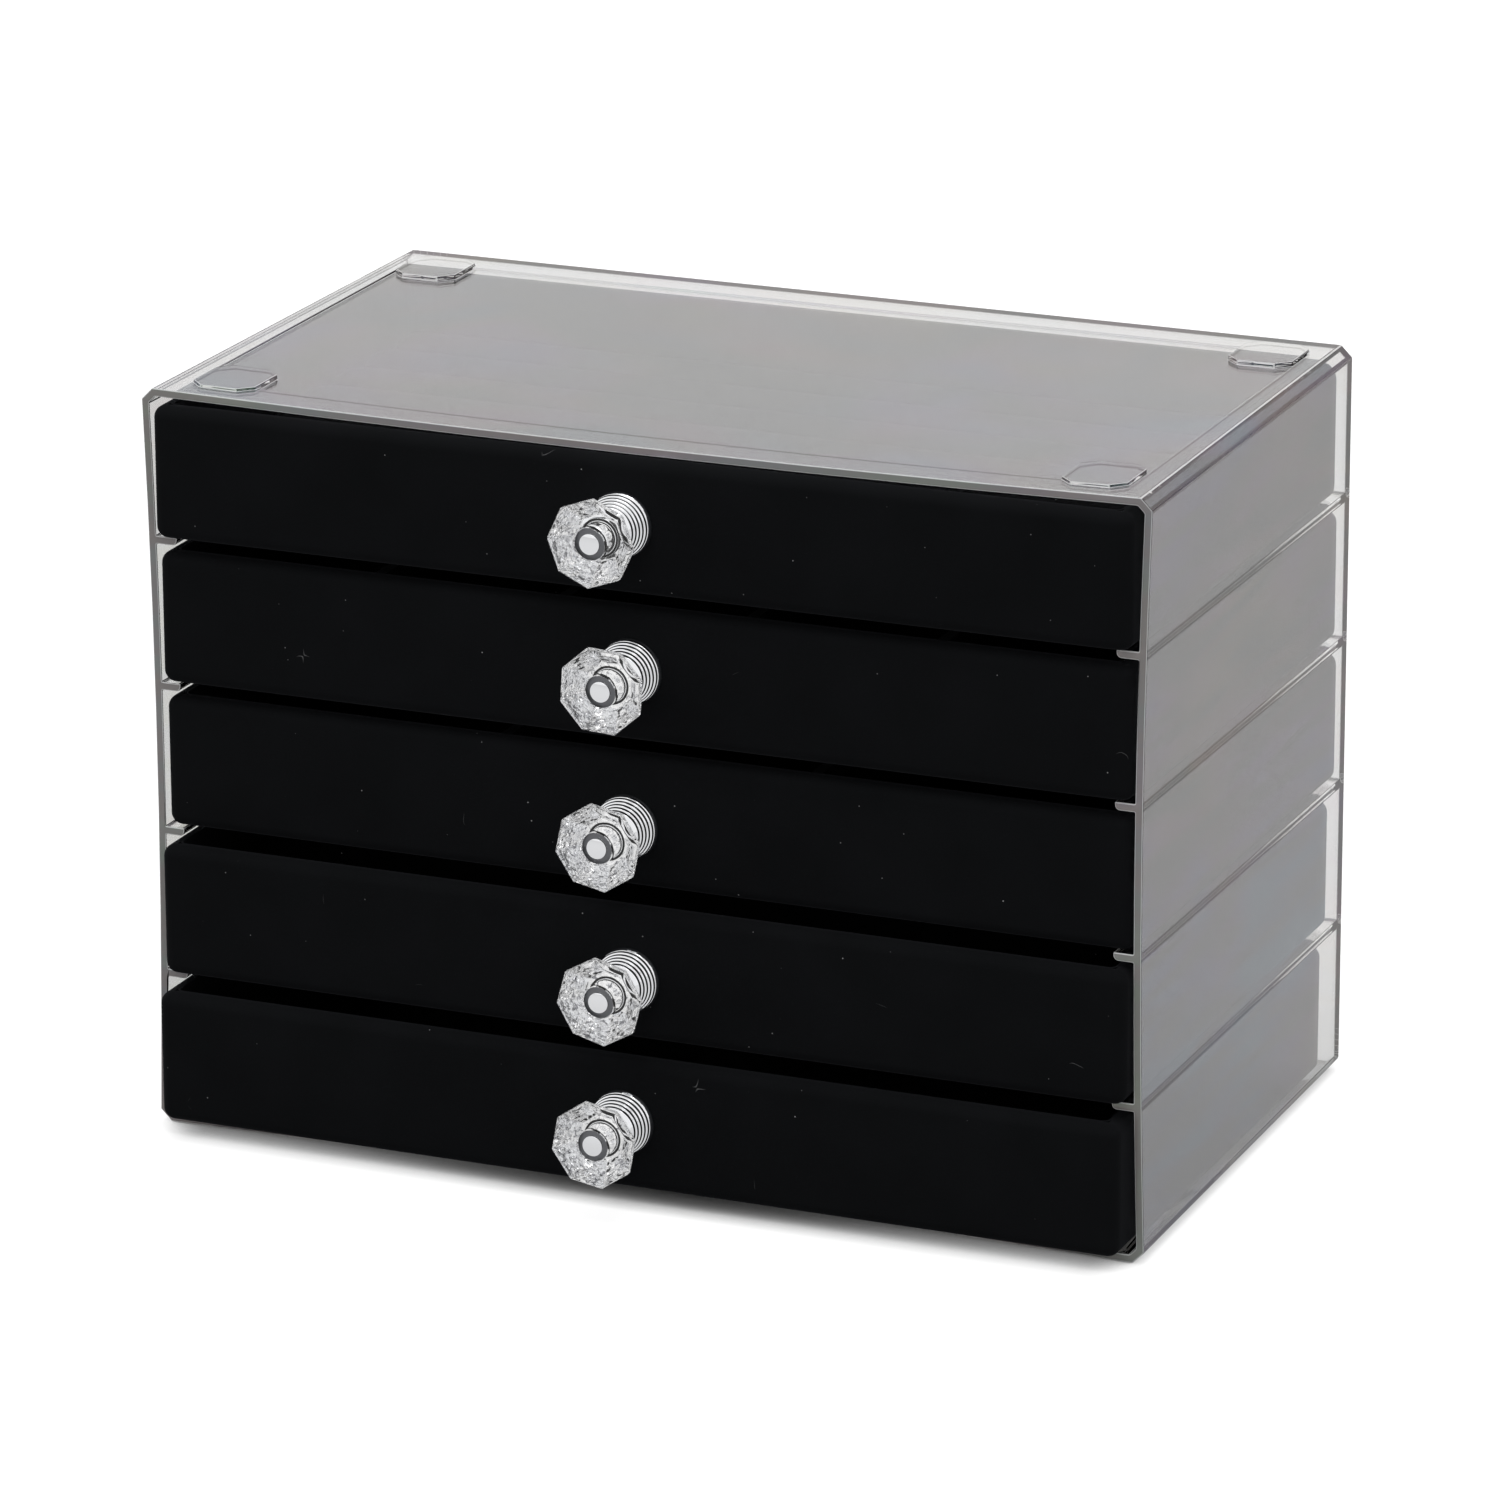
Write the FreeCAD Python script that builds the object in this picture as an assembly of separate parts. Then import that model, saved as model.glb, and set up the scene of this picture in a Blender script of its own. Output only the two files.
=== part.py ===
import FreeCAD, Part
import math
import os

# Jewellery organizer box: a clear moulded case, open at the front, with five velvet drawers.
# Sizes are millimetres. +Z is up, +X is to the right seen from the front, +Y goes to the back.
# The origin is the centre of the case's base, on the surface that the box stands on.

V = FreeCAD.Vector

# Case: one clear moulding, slightly narrower at the back so that it leaves its mould
case_width = 235.0
case_depth = 132.0
case_height = 170.5
wall = 1.8
edge_chamfer = 2.6
side_draft = 1.2          # how much each side wall leans in at the back
side_bow = 1.4            # how far the side walls draw in at the middle of the open mouth
top_bow = 1.1             # how far the top sags at the middle of the mouth
floor_bow = 0.9           # how far the floor's front edge lifts at its middle
floor_bow_reach = 45.0    # the floor is flat from this distance behind the mouth

# Rails: ledges on the side walls that carry the upper drawers
drawer_count = 5
rail_thickness = 1.8
rail_width = 5.9          # from the straight inner wall line to the rail's tip
rail_tip_radius = 1.2

# Stacking features: a sunk panel and four raised pads on top, four pockets under the floor
panel_sink = 0.5
panel_side_margin = 8.0
panel_end_margin = 10.0
pad_width = 15.0
pad_length = 17.5
pad_corner = 3.2
pad_rise = 0.6
pad_side_inset = 16.0
pad_end_inset = 14.0
pocket_clearance = 0.3
pocket_depth = 0.8

# Drawers: a stiff tray wrapped in velvet outside and lined inside
slide_gap = 0.25          # under a drawer, and over it where the top of the case sags most
side_gap = 0.4            # beside a drawer, where the case is narrowest
back_gap = 0.3            # free space behind a drawer whose front is flush with the mouth
velvet = 0.6
tray_wall = 2.4
tray_floor = 2.0
wrap_radius = 2.8
wrap_hem = 14.0
inner_corner = 2.0

# How far each drawer stands out of the mouth, from the top drawer to the bottom one
pulled_out = (3.3, 1.4, 0.0, 4.2, 7.5)

# Knobs: height over the drawer's bottom, offset to the side, and turn about the knob's axis.
# They were fitted by hand, so each one sits a little differently.
knob_height = (15.7, 16.1, 13.8, 13.9, 15.7)
knob_offset = (-1.9, -0.6, -2.4, -0.5, -0.7)
knob_turn = (2.5, -18.7, -10.3, -6.9, -12.1)

# Knob's metal base: a flange, ridges that get smaller towards the crystal, a neck and a stud
flange_radius = 7.5
flange_length = 1.6
flange_rim = 0.7          # the flange's straight edge, before its front slopes in
ridge_count = 5
ridge_pitch = 0.9
ridge_step = 0.42         # how much smaller each ridge is than the one behind it
ridge_slope = 0.2         # how much each ridge narrows towards its front
ridge_groove = 0.35
neck_radius = 4.4
neck_length = 1.6
stud_radius = 3.6
stud_sink = 0.3           # how far the stud's end lies behind the crystal's face
stud_tip_radius = 2.3     # the narrower end seen in the middle of the crystal's face
stud_tip_length = 0.6
stud_groove = 0.35
stud_groove_count = 5
stud_clearance = 0.05

# Knob's crystal: widest at its front, where a narrow bevel runs round the flat face
crystal_back_radius = 5.4
crystal_radius = 9.9
crystal_bevel = 0.5
crystal_bevel_width = 0.9
crystal_back_length = 7.5
crystal_girdle_length = 1.3
crystal_sides = 8

screw_radius = 1.95
screw_head_radius = 3.6
screw_head_length = 2.4
screw_recess_width = 0.9
screw_recess_depth = 1.2
screw_reach = 10.5        # how far the screw goes into the knob's base
screw_end_room = 1.0      # free depth of the bore beyond the screw
screw_clearance = 0.05
screw_hole_clearance = 0.2
washer_radius = 4.6
washer_thickness = 0.8

# Inside fittings of the drawers
roll_radius = 8.0
roll_gap = 0.6
roll_front_room = 5.5     # free space at the drawer's front for the knob's screw
roll_flat = 0.8
roll_end_radius = 3.0
roll_end_gap = 0.4
divider_thickness = 2.4
divider_drop = 3.2        # how far the dividers stop below the drawer's rim
divider_end_gap = 0.3
divider_lap_gap = 0.15
divider_floor_gap = 0.05

# Worked out sizes
half_width = case_width / 2
front_y = -case_depth / 2
back_y = case_depth / 2
floor_top = wall + floor_bow
bay_height = (case_height - wall - floor_top - (drawer_count - 1) * rail_thickness) / drawer_count
rail_pitch = bay_height + rail_thickness
drawer_height = bay_height - 2 * slide_gap - top_bow
drawer_width = case_width - 2 * (wall + max(side_bow, side_draft) + side_gap)
drawer_depth = case_depth - wall - back_gap
tray_inset = velvet + tray_wall
lining_inset = tray_inset + velvet
lining_floor = velvet + tray_floor + velvet
inner_width = drawer_width - 2 * lining_inset
inner_depth = drawer_depth - 2 * lining_inset
divider_height = drawer_height - lining_floor - divider_drop
roll_pitch = 2 * roll_radius + roll_gap
roll_count = int((inner_depth - roll_front_room) / roll_pitch)
base_length = flange_length + ridge_count * ridge_pitch + neck_length
crystal_length = crystal_back_length + crystal_girdle_length + crystal_bevel
stud_length = crystal_length - stud_sink


def straight_or_bowed(start, middle, end):
    """An edge from start to end, through middle where that is off the straight line."""
    if middle.distanceToPoint((start + end) * 0.5) < 1e-6:
        return Part.makeLine(start, end)
    return Part.Arc(start, middle, end).toShape()


def mouth_section(y, half, low, high, chamfer, side_in, top_in, floor_in):
    """Chamfered rectangle across the case at y, with its sides bowed inwards."""
    middle_z = (low + high) / 2
    right_low = V(half, y, low + chamfer)
    right_high = V(half, y, high - chamfer)
    top_right = V(half - chamfer, y, high)
    top_left = V(-half + chamfer, y, high)
    left_high = V(-half, y, high - chamfer)
    left_low = V(-half, y, low + chamfer)
    floor_left = V(-half + chamfer, y, low)
    floor_right = V(half - chamfer, y, low)
    edges = [
        straight_or_bowed(right_low, V(half - side_in, y, middle_z), right_high),
        Part.makeLine(right_high, top_right),
        straight_or_bowed(top_right, V(0, y, high - top_in), top_left),
        Part.makeLine(top_left, left_high),
        straight_or_bowed(left_high, V(-half + side_in, y, middle_z), left_low),
        Part.makeLine(left_low, floor_left),
        straight_or_bowed(floor_left, V(0, y, low + floor_in), floor_right),
        Part.makeLine(floor_right, right_low),
    ]
    return Part.Wire(edges)


def with_true_planes(block):
    """The same block, with the flat patches that its loft left as splines made true planes."""
    faces = []
    for face in block.Faces:
        if face.findPlane() and not isinstance(face.Surface, Part.Plane):
            corners = [vertex.Point for vertex in face.OuterWire.OrderedVertexes]
            face = Part.Face(Part.makePolygon(corners + corners[:1]))
        faces.append(face)
    shell = Part.Shell(faces)
    shell.sewShape()
    return Part.Solid(shell)


def case_block(inset, end_y, overrun):
    """The case's outer form, or the room inside it when inset is the wall."""
    chamfer = edge_chamfer - inset * (2 - math.sqrt(2))
    stations = [front_y, front_y + floor_bow_reach, end_y]
    if overrun:
        stations.insert(0, front_y - overrun)
    sections = []
    for y in stations:
        depth_share = min(max((y - front_y) / case_depth, 0.0), 1.0)
        floor_share = min(max((y - front_y) / floor_bow_reach, 0.0), 1.0)
        sections.append(mouth_section(
            y,
            half_width - inset - side_draft * depth_share,
            inset,
            case_height - inset,
            chamfer,
            side_bow * (1 - depth_share),
            top_bow * (1 - depth_share),
            floor_bow * (1 - floor_share),
        ))
    return with_true_planes(Part.makeLoft(sections, True, True))


def box(low, high):
    """A block between two corners."""
    return Part.makeBox(high[0] - low[0], high[1] - low[1], high[2] - low[2], V(*low))


def rounded_prism(width, depth, low_z, high_z, radius, front):
    """An upright block with rounded corners, centred on x, from y = front backwards."""
    block = box((-width / 2, front, low_z), (width / 2, front + depth, high_z))
    upright = [e for e in block.Edges if abs(e.tangentAt(e.FirstParameter).z) > 0.99]
    return block.makeFillet(radius, upright)


def octagon_prism(x, y, width, length, corner, low_z, high_z):
    """An upright block with its four corners cut off."""
    half_x = width / 2
    half_y = length / 2
    outline = [
        (half_x - corner, -half_y), (half_x, -half_y + corner),
        (half_x, half_y - corner), (half_x - corner, half_y),
        (-half_x + corner, half_y), (-half_x, half_y - corner),
        (-half_x, -half_y + corner), (-half_x + corner, -half_y),
    ]
    points = [V(x + px, y + py, low_z) for px, py in outline]
    face = Part.Face(Part.makePolygon(points + points[:1]))
    return face.extrude(V(0, 0, high_z - low_z))


def rail_top(index):
    """Height of the ledge under drawer index, counted from 1 at the top."""
    return floor_top + (drawer_count - index) * rail_pitch


def make_rail_block(index, side):
    """The block that a rail keeps free of the moulding's core, wider than the case."""
    tip = half_width - wall - rail_width
    top = rail_top(index)
    block = box((tip, front_y - 5, top - rail_thickness), (half_width + 5, back_y, top))
    tip_edge = [
        e for e in block.Edges
        if abs(e.CenterOfMass.x - tip) < 0.01 and abs(e.CenterOfMass.z - top + rail_thickness) < 0.01
    ]
    block = block.makeFillet(rail_tip_radius, tip_edge)
    if side < 0:
        block = block.mirror(V(0, 0, 0), V(1, 0, 0))
    return block


def pad_places():
    """Centres of the four stacking pads."""
    return [
        (side * (half_width - pad_side_inset), end * (case_depth / 2 - pad_end_inset))
        for side in (-1, 1) for end in (-1, 1)
    ]


def make_case():
    """The clear moulding: shell, rails, sunk top panel, stacking pads and pockets."""
    room = case_block(wall, back_y - wall, 5.0)
    for index in range(1, drawer_count):
        for side in (-1, 1):
            room = room.cut(make_rail_block(index, side))
    case = case_block(0.0, back_y, 0.0)
    panel = box(
        (-half_width + panel_side_margin, front_y + panel_end_margin, case_height - 4 * wall),
        (half_width - panel_side_margin, back_y - panel_end_margin, case_height + wall),
    )
    lowered = case.copy()
    lowered.translate(V(0, 0, -panel_sink))
    raised = case.copy()
    raised.translate(V(0, 0, pad_rise))
    case = case.cut(room)
    case = case.cut(panel.cut(lowered))
    for x, y in pad_places():
        pad = octagon_prism(
            x, y, pad_width, pad_length, pad_corner,
            case_height - wall * 0.6, case_height + 2 * pad_rise,
        )
        pocket = octagon_prism(
            x, y, pad_width + 2 * pocket_clearance, pad_length + 2 * pocket_clearance,
            pad_corner, -wall, pocket_depth,
        )
        case = case.fuse(pad.common(raised))
        case = case.cut(pocket)
    return case.removeSplitter()


def knob_hole(index, radius):
    """The hole for the knob's screw through the front of drawer index."""
    start = V(knob_offset[index - 1], -1, knob_height[index - 1])
    return Part.makeCylinder(radius, lining_inset + 2, start, V(0, 1, 0))


def make_tray(index):
    """The stiff box inside the velvet."""
    outside = box(
        (-drawer_width / 2 + velvet, velvet, velvet),
        (drawer_width / 2 - velvet, drawer_depth - velvet, drawer_height - velvet),
    )
    outside = outside.makeFillet(wrap_radius - velvet, outside.Edges)
    inside = rounded_prism(
        drawer_width - 2 * tray_inset, drawer_depth - 2 * tray_inset,
        velvet + tray_floor, drawer_height + 1, inner_corner, tray_inset,
    )
    tray = outside.cut(inside)
    return tray.cut(knob_hole(index, screw_radius + screw_hole_clearance))


def make_wrap(index):
    """Velvet over the tray's outside and rim, turned under its floor."""
    outside = box((-drawer_width / 2, 0, 0), (drawer_width / 2, drawer_depth, drawer_height))
    outside = outside.makeFillet(wrap_radius, outside.Edges)
    core = box(
        (-drawer_width / 2 + velvet, velvet, velvet),
        (drawer_width / 2 - velvet, drawer_depth - velvet, drawer_height - velvet),
    )
    core = core.makeFillet(wrap_radius - velvet, core.Edges)
    mouth = rounded_prism(
        drawer_width - 2 * tray_inset, drawer_depth - 2 * tray_inset,
        drawer_height / 2, drawer_height + 1, inner_corner, tray_inset,
    )
    under = rounded_prism(
        drawer_width - 2 * wrap_hem, drawer_depth - 2 * wrap_hem,
        -1, drawer_height / 2, inner_corner, wrap_hem,
    )
    wrap = outside.cut(core).cut(mouth).cut(under)
    return wrap.cut(knob_hole(index, screw_radius + screw_hole_clearance))


def make_lining(index):
    """Velvet on the tray's inner walls and floor."""
    outside = rounded_prism(
        drawer_width - 2 * tray_inset, drawer_depth - 2 * tray_inset,
        velvet + tray_floor, drawer_height, inner_corner, tray_inset,
    )
    inside = rounded_prism(
        inner_width, inner_depth,
        lining_floor, drawer_height + 1, inner_corner - velvet, lining_inset,
    )
    lining = outside.cut(inside)
    return lining.cut(knob_hole(index, screw_radius + screw_hole_clearance))


def turned(profile):
    """A solid turned about the Y axis from (radius, y) points, closed along the axis."""
    points = [V(radius, y, 0) for radius, y in profile]
    face = Part.Face(Part.makePolygon(points + points[:1]))
    return face.revolve(V(0, 0, 0), V(0, 1, 0), 360)


def make_knob_base():
    """Bright metal base: flange, ridges, neck and the stud that holds the crystal."""
    profile = [
        (0, 0), (flange_radius, 0), (flange_radius, -flange_rim),
        (flange_radius - ridge_step, -flange_length),
    ]
    for ridge in range(ridge_count):
        radius = flange_radius - (ridge + 1) * ridge_step
        y = -flange_length - ridge * ridge_pitch
        profile.append((radius - ridge_groove, y - ridge_pitch / 6))
        profile.append((radius, y - ridge_pitch / 3))
        profile.append((radius - ridge_slope, y - ridge_pitch))
    profile.append((neck_radius, -base_length + neck_length * 2 / 3))
    profile.append((neck_radius, -base_length))
    profile.append((stud_radius, -base_length))
    groove_pitch = (stud_length - stud_tip_length) / (stud_groove_count + 1)
    for groove in range(1, stud_groove_count + 1):
        y = -base_length - groove * groove_pitch
        profile.append((stud_radius, y + groove_pitch / 4))
        profile.append((stud_radius - stud_groove, y))
        profile.append((stud_radius, y - groove_pitch / 4))
    profile.append((stud_radius, -base_length - stud_length + stud_tip_length))
    profile.append((stud_tip_radius, -base_length - stud_length + stud_tip_length))
    profile.append((stud_tip_radius, -base_length - stud_length))
    profile.append((0, -base_length - stud_length))
    base = turned(profile)
    bore = Part.makeCylinder(
        screw_radius + screw_clearance, screw_reach + screw_end_room + 1, V(0, 1, 0), V(0, -1, 0),
    )
    return base.cut(bore)


def crystal_ring(radius, y):
    """A regular polygon across the knob's axis."""
    points = []
    for corner in range(crystal_sides):
        angle = 2 * math.pi * corner / crystal_sides
        points.append(V(radius * math.cos(angle), y, radius * math.sin(angle)))
    return Part.makePolygon(points + points[:1])


def make_crystal():
    """Clear faceted head: tapered back, straight girdle and a flat face, bored right through."""
    back = -base_length
    girdle_back = back - crystal_back_length
    girdle_front = girdle_back - crystal_girdle_length
    rings = [
        crystal_ring(crystal_back_radius, back),
        crystal_ring(crystal_radius, girdle_back),
        crystal_ring(crystal_radius, girdle_front),
        crystal_ring(crystal_radius - crystal_bevel_width, girdle_front - crystal_bevel),
    ]
    crystal = Part.makeLoft(rings, True, True)
    socket = Part.makeCylinder(
        stud_radius + stud_clearance, crystal_length + 2, V(0, back + 1, 0), V(0, -1, 0),
    )
    return crystal.cut(socket)


def make_screw():
    """Pan-head screw from inside the drawer into the knob's base."""
    seat = lining_inset + washer_thickness
    shank = Part.makeCylinder(screw_radius, seat + screw_reach, V(0, seat, 0), V(0, -1, 0))
    head = Part.makeCylinder(screw_head_radius, screw_head_length, V(0, seat, 0), V(0, 1, 0))
    rim = [e for e in head.Edges if e.CenterOfMass.y > seat + screw_head_length - 0.01]
    head = head.makeFillet(screw_head_length / 3, rim)
    screw = shank.fuse(head)
    top = seat + screw_head_length
    reach = screw_head_radius * 0.6
    half = screw_recess_width / 2
    for wide, tall in ((reach, half), (half, reach)):
        screw = screw.cut(box((-wide, top - screw_recess_depth, -tall), (wide, top + 1, tall)))
    return screw.removeSplitter()


def make_washer():
    """Flat washer between the screw's head and the lining."""
    start = V(0, lining_inset, 0)
    disc = Part.makeCylinder(washer_radius, washer_thickness, start, V(0, 1, 0))
    hole = Part.makeCylinder(
        screw_radius + screw_clearance, washer_thickness + 2, V(0, lining_inset - 1, 0), V(0, 1, 0),
    )
    return disc.cut(hole)


def make_ring_rolls():
    """Soft rolls side by side along the drawer, flat where they lie on the lining."""
    length = inner_width - 2 * roll_end_gap
    last_y = drawer_depth - lining_inset - roll_gap - roll_radius
    rolls = []
    for number in range(roll_count):
        y = last_y - number * roll_pitch
        z = lining_floor + roll_radius - roll_flat
        roll = Part.makeCylinder(roll_radius, length, V(-length / 2, y, z), V(1, 0, 0))
        ends = [e for e in roll.Edges if e.Curve.TypeId == "Part::GeomCircle"]
        roll = roll.makeFillet(roll_end_radius, ends)
        below = box(
            (-length, y - 2 * roll_radius, z - 2 * roll_radius),
            (length, y + 2 * roll_radius, lining_floor),
        )
        rolls.append(roll.cut(below))
    return Part.makeCompound(rolls)


def divider_places(room, cells):
    """Centres of the dividers that part a room into equal cells, from the room's middle."""
    return [room * (number / cells - 0.5) for number in range(1, cells)]


def make_long_dividers(columns, rows):
    """Boards along the drawer's width, slotted from above where cross boards drop in."""
    bottom = lining_floor + divider_floor_gap
    top = bottom + divider_height
    half_length = inner_width / 2 - divider_end_gap
    middle_y = drawer_depth / 2
    slot = divider_thickness / 2 + divider_lap_gap
    boards = []
    for place in divider_places(inner_depth, rows):
        y = middle_y + place
        board = box(
            (-half_length, y - divider_thickness / 2, bottom),
            (half_length, y + divider_thickness / 2, top),
        )
        for x in divider_places(inner_width, columns):
            board = board.cut(box(
                (x - slot, y - divider_thickness, (bottom + top) / 2),
                (x + slot, y + divider_thickness, top + 1),
            ))
        boards.append(board)
    return Part.makeCompound(boards)


def make_cross_dividers(columns, rows):
    """Boards from the drawer's front to its back, slotted from below over the long boards."""
    bottom = lining_floor + divider_floor_gap
    top = bottom + divider_height
    half_length = inner_depth / 2 - divider_end_gap
    middle_y = drawer_depth / 2
    slot = divider_thickness / 2 + divider_lap_gap
    lap_top = (bottom + top) / 2 + divider_lap_gap
    boards = []
    for x in divider_places(inner_width, columns):
        board = box(
            (x - divider_thickness / 2, middle_y - half_length, bottom),
            (x + divider_thickness / 2, middle_y + half_length, top),
        )
        for place in divider_places(inner_depth, rows):
            y = middle_y + place
            board = board.cut(box(
                (x - divider_thickness, y - slot, bottom - 1),
                (x + divider_thickness, y + slot, lap_top),
            ))
        boards.append(board)
    return Part.makeCompound(boards)


def drawer_origin(index):
    """Where the middle of a drawer's lower front edge lies in the box."""
    return V(0, front_y - pulled_out[index - 1], rail_top(index) + slide_gap)


def placed(shape, index, at_knob=False):
    """A piece made at the drawer's own origin, moved to drawer index or to its knob."""
    piece = shape.copy()
    if at_knob:
        piece.rotate(V(0, 0, 0), V(0, 1, 0), knob_turn[index - 1])
        piece.translate(V(knob_offset[index - 1], 0, knob_height[index - 1]))
    piece.translate(drawer_origin(index))
    return piece


# How each drawer is parted: columns across the width and rows from front to back
drawer_cells = {2: (5, 3), 3: (3, 2), 4: (1, 3)}
ring_drawer = 1


def make_drawer(index):
    """Every piece that moves with drawer index, by name."""
    name = "drawer_%d_" % index
    pieces = {
        name + "tray": placed(make_tray(index), index),
        name + "velvet_wrap": placed(make_wrap(index), index),
        name + "velvet_lining": placed(make_lining(index), index),
        name + "knob_base": placed(make_knob_base(), index, True),
        name + "knob_crystal": placed(make_crystal(), index, True),
        name + "knob_screw": placed(make_screw(), index, True),
        name + "knob_washer": placed(make_washer(), index, True),
    }
    if index == ring_drawer:
        pieces[name + "ring_rolls"] = placed(make_ring_rolls(), index)
    if index in drawer_cells:
        columns, rows = drawer_cells[index]
        if rows > 1:
            pieces[name + "long_dividers"] = placed(make_long_dividers(columns, rows), index)
        if columns > 1:
            pieces[name + "cross_dividers"] = placed(make_cross_dividers(columns, rows), index)
    return pieces


def main():
    os.makedirs("parts", exist_ok=True)
    pieces = {"clear_case": make_case()}
    for index in range(1, drawer_count + 1):
        pieces.update(make_drawer(index))
    for name, shape in pieces.items():
        shape.exportStep("parts/%s.step" % name)
        print(name, "solids", len(shape.Solids), "volume cm3", round(shape.Volume / 1000, 3))


main()
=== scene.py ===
# %% [markdown]
# A jewellery organizer box: a clear polystyrene case with five drawers wrapped in black velvet.
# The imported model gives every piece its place. This script dresses the pieces: it rounds the
# moulded edges, stretches velvet over the drawers, and makes the plastics, metal and cloth.

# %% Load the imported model
import math

import bmesh
import bpy
import numpy as np
from mathutils import Euler, Matrix, Vector


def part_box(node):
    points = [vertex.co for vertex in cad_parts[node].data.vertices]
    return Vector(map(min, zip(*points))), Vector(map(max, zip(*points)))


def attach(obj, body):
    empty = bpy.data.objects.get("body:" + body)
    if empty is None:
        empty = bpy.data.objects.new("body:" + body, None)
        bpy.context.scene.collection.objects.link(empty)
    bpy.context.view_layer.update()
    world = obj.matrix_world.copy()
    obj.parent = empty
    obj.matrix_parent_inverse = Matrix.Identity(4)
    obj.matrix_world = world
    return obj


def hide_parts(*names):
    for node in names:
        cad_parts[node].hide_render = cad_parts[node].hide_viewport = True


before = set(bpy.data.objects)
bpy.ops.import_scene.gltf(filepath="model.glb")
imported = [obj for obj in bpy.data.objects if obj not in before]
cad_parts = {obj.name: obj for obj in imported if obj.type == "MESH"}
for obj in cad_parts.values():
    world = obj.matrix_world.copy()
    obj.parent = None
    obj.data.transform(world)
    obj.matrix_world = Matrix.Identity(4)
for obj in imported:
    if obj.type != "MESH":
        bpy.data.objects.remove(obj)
scene = bpy.context.scene
scene.view_settings.view_transform = "Standard"
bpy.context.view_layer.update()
MM = 0.001
DRAWERS = range(1, 6)


# %% [markdown]
# Colours are written as the hex values that a colour picker shows. Blender works in linear light,
# so one function turns them. One more small function adds a shader node with its settings and
# links, which keeps each material's recipe short enough to read at a glance.

# %% Colour and node helpers
def linear(hex_colour):
    """An sRGB hex colour as the linear RGBA that shaders expect."""
    channels = []
    for start in (1, 3, 5):
        value = int(hex_colour[start:start + 2], 16) / 255
        channels.append(value / 12.92 if value <= 0.04045 else ((value + 0.055) / 1.055) ** 2.4)
    return (*channels, 1.0)


def add_node(tree, kind, settings=None, inputs=None, links=None):
    """Add a node, set its properties and socket values, and link sockets to its inputs."""
    node = tree.nodes.new(kind)
    for name, value in (settings or {}).items():
        setattr(node, name, value)
    for name, value in (inputs or {}).items():
        node.inputs[name].default_value = value
    for name, source in (links or {}).items():
        tree.links.new(source, node.inputs[name])
    return node


def start_material(name):
    """A new material with an empty node tree and its output node."""
    material = bpy.data.materials.new(name)
    material.use_nodes = True
    tree = material.node_tree
    tree.nodes.clear()
    output = add_node(tree, "ShaderNodeOutputMaterial")
    return material, tree, output


print("helpers ready; mid grey #808080 is", round(linear("#808080")[0], 3), "in linear light")

# %% [markdown]
# The picture was taken from the front and right, a little above the box, through a long lens.
# A long lens far away could be faked with an orthographic camera, but the box's edges do draw
# together slightly, so the camera gets its true place and focal length.

# %% Camera
CAMERA_PLACE = (0.67503, -1.60224, 0.64160)
CAMERA_AZIMUTH = 22.888
CAMERA_ELEVATION = 17.846
CAMERA_ROLL = -0.214
CAMERA_LENS_MM = 196.2

camera_data = bpy.data.cameras.new("camera")
camera_data.sensor_width = 36.0
camera_data.lens = CAMERA_LENS_MM
camera = bpy.data.objects.new("camera", camera_data)
scene.collection.objects.link(camera)
aim = Euler((math.radians(90 - CAMERA_ELEVATION), 0, math.radians(CAMERA_AZIMUTH)))
roll = Matrix.Rotation(math.radians(CAMERA_ROLL), 4, "Z")
camera.matrix_world = Matrix.Translation(CAMERA_PLACE) @ aim.to_matrix().to_4x4() @ roll
scene.camera = camera
print("camera stands", round(Vector(CAMERA_PLACE).length, 3), "m from the box's base")

# %% [markdown]
# The studio is a white tent: white on every side, so clear plastic and bright metal mirror
# white, and velvet stays black. The paper floor is darker than the backdrop, as paper lying
# beside a box is. That shows where the plastic mirrors it: the top of the case mirrors the
# backdrop and the right side mirrors the floor, so the side is the darker of the two. A glow
# makes the floor white for the camera and grey where plastic mirrors it or lets it through, and
# it lights no dull surface. It fades where little sky is open, which keeps the box's shadow.
# Beside the box the glow looks sideways, as if lamps filled the shadows from left and right. So
# the one shadow that shows is the narrow one in front, where the bottom drawer hangs over the
# paper.

# %% Studio
TENT_ON_DULL_SURFACES = 0.70
TENT_MIRRORED = 0.95
TENT_THROUGH_PLASTIC = 0.82
LAMP_PLACE = (0.10, -0.30, 1.90)
LAMP_SIZE = 1.2
LAMP_WATTS = 11.0
FLOOR_SIZE = 12.0
FLOOR_REFLECTANCE = 0.36
FLOOR_GLOW = 0.86
FLOOR_GLOW_MIRRORED = 0.45
FLOOR_GLOW_THROUGH_PLASTIC = 0.40
SHADOW_REACH = 7 * MM
SHADOW_DARK = 0.20
SHADOW_CONTRAST = 1.3
SIDE_FILL_PER_METRE = 17.0


def add_math(tree, operation, first, second):
    """The value of one sum, product or comparison; each side is a socket or a number."""
    node = add_node(tree, "ShaderNodeMath", {"operation": operation})
    for place, value in enumerate((first, second)):
        if isinstance(value, bpy.types.NodeSocket):
            tree.links.new(value, node.inputs[place])
        else:
            node.inputs[place].default_value = value
    return node.outputs[0]


def add_by_ray(tree, seen, mirrored, through_plastic, dull):
    """A value that depends on what looks: the camera, a mirror, clear plastic or a dull surface."""
    path = add_node(tree, "ShaderNodeLightPath")
    value = add_math(tree, "MULTIPLY", path.outputs["Is Camera Ray"], seen - dull)
    for kind, level in (("Is Glossy Ray", mirrored), ("Is Transmission Ray", through_plastic)):
        share = add_math(tree, "MULTIPLY", path.outputs[kind], level - dull)
        value = add_math(tree, "MAXIMUM", value, share)
    return add_math(tree, "ADD", value, dull)


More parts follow.
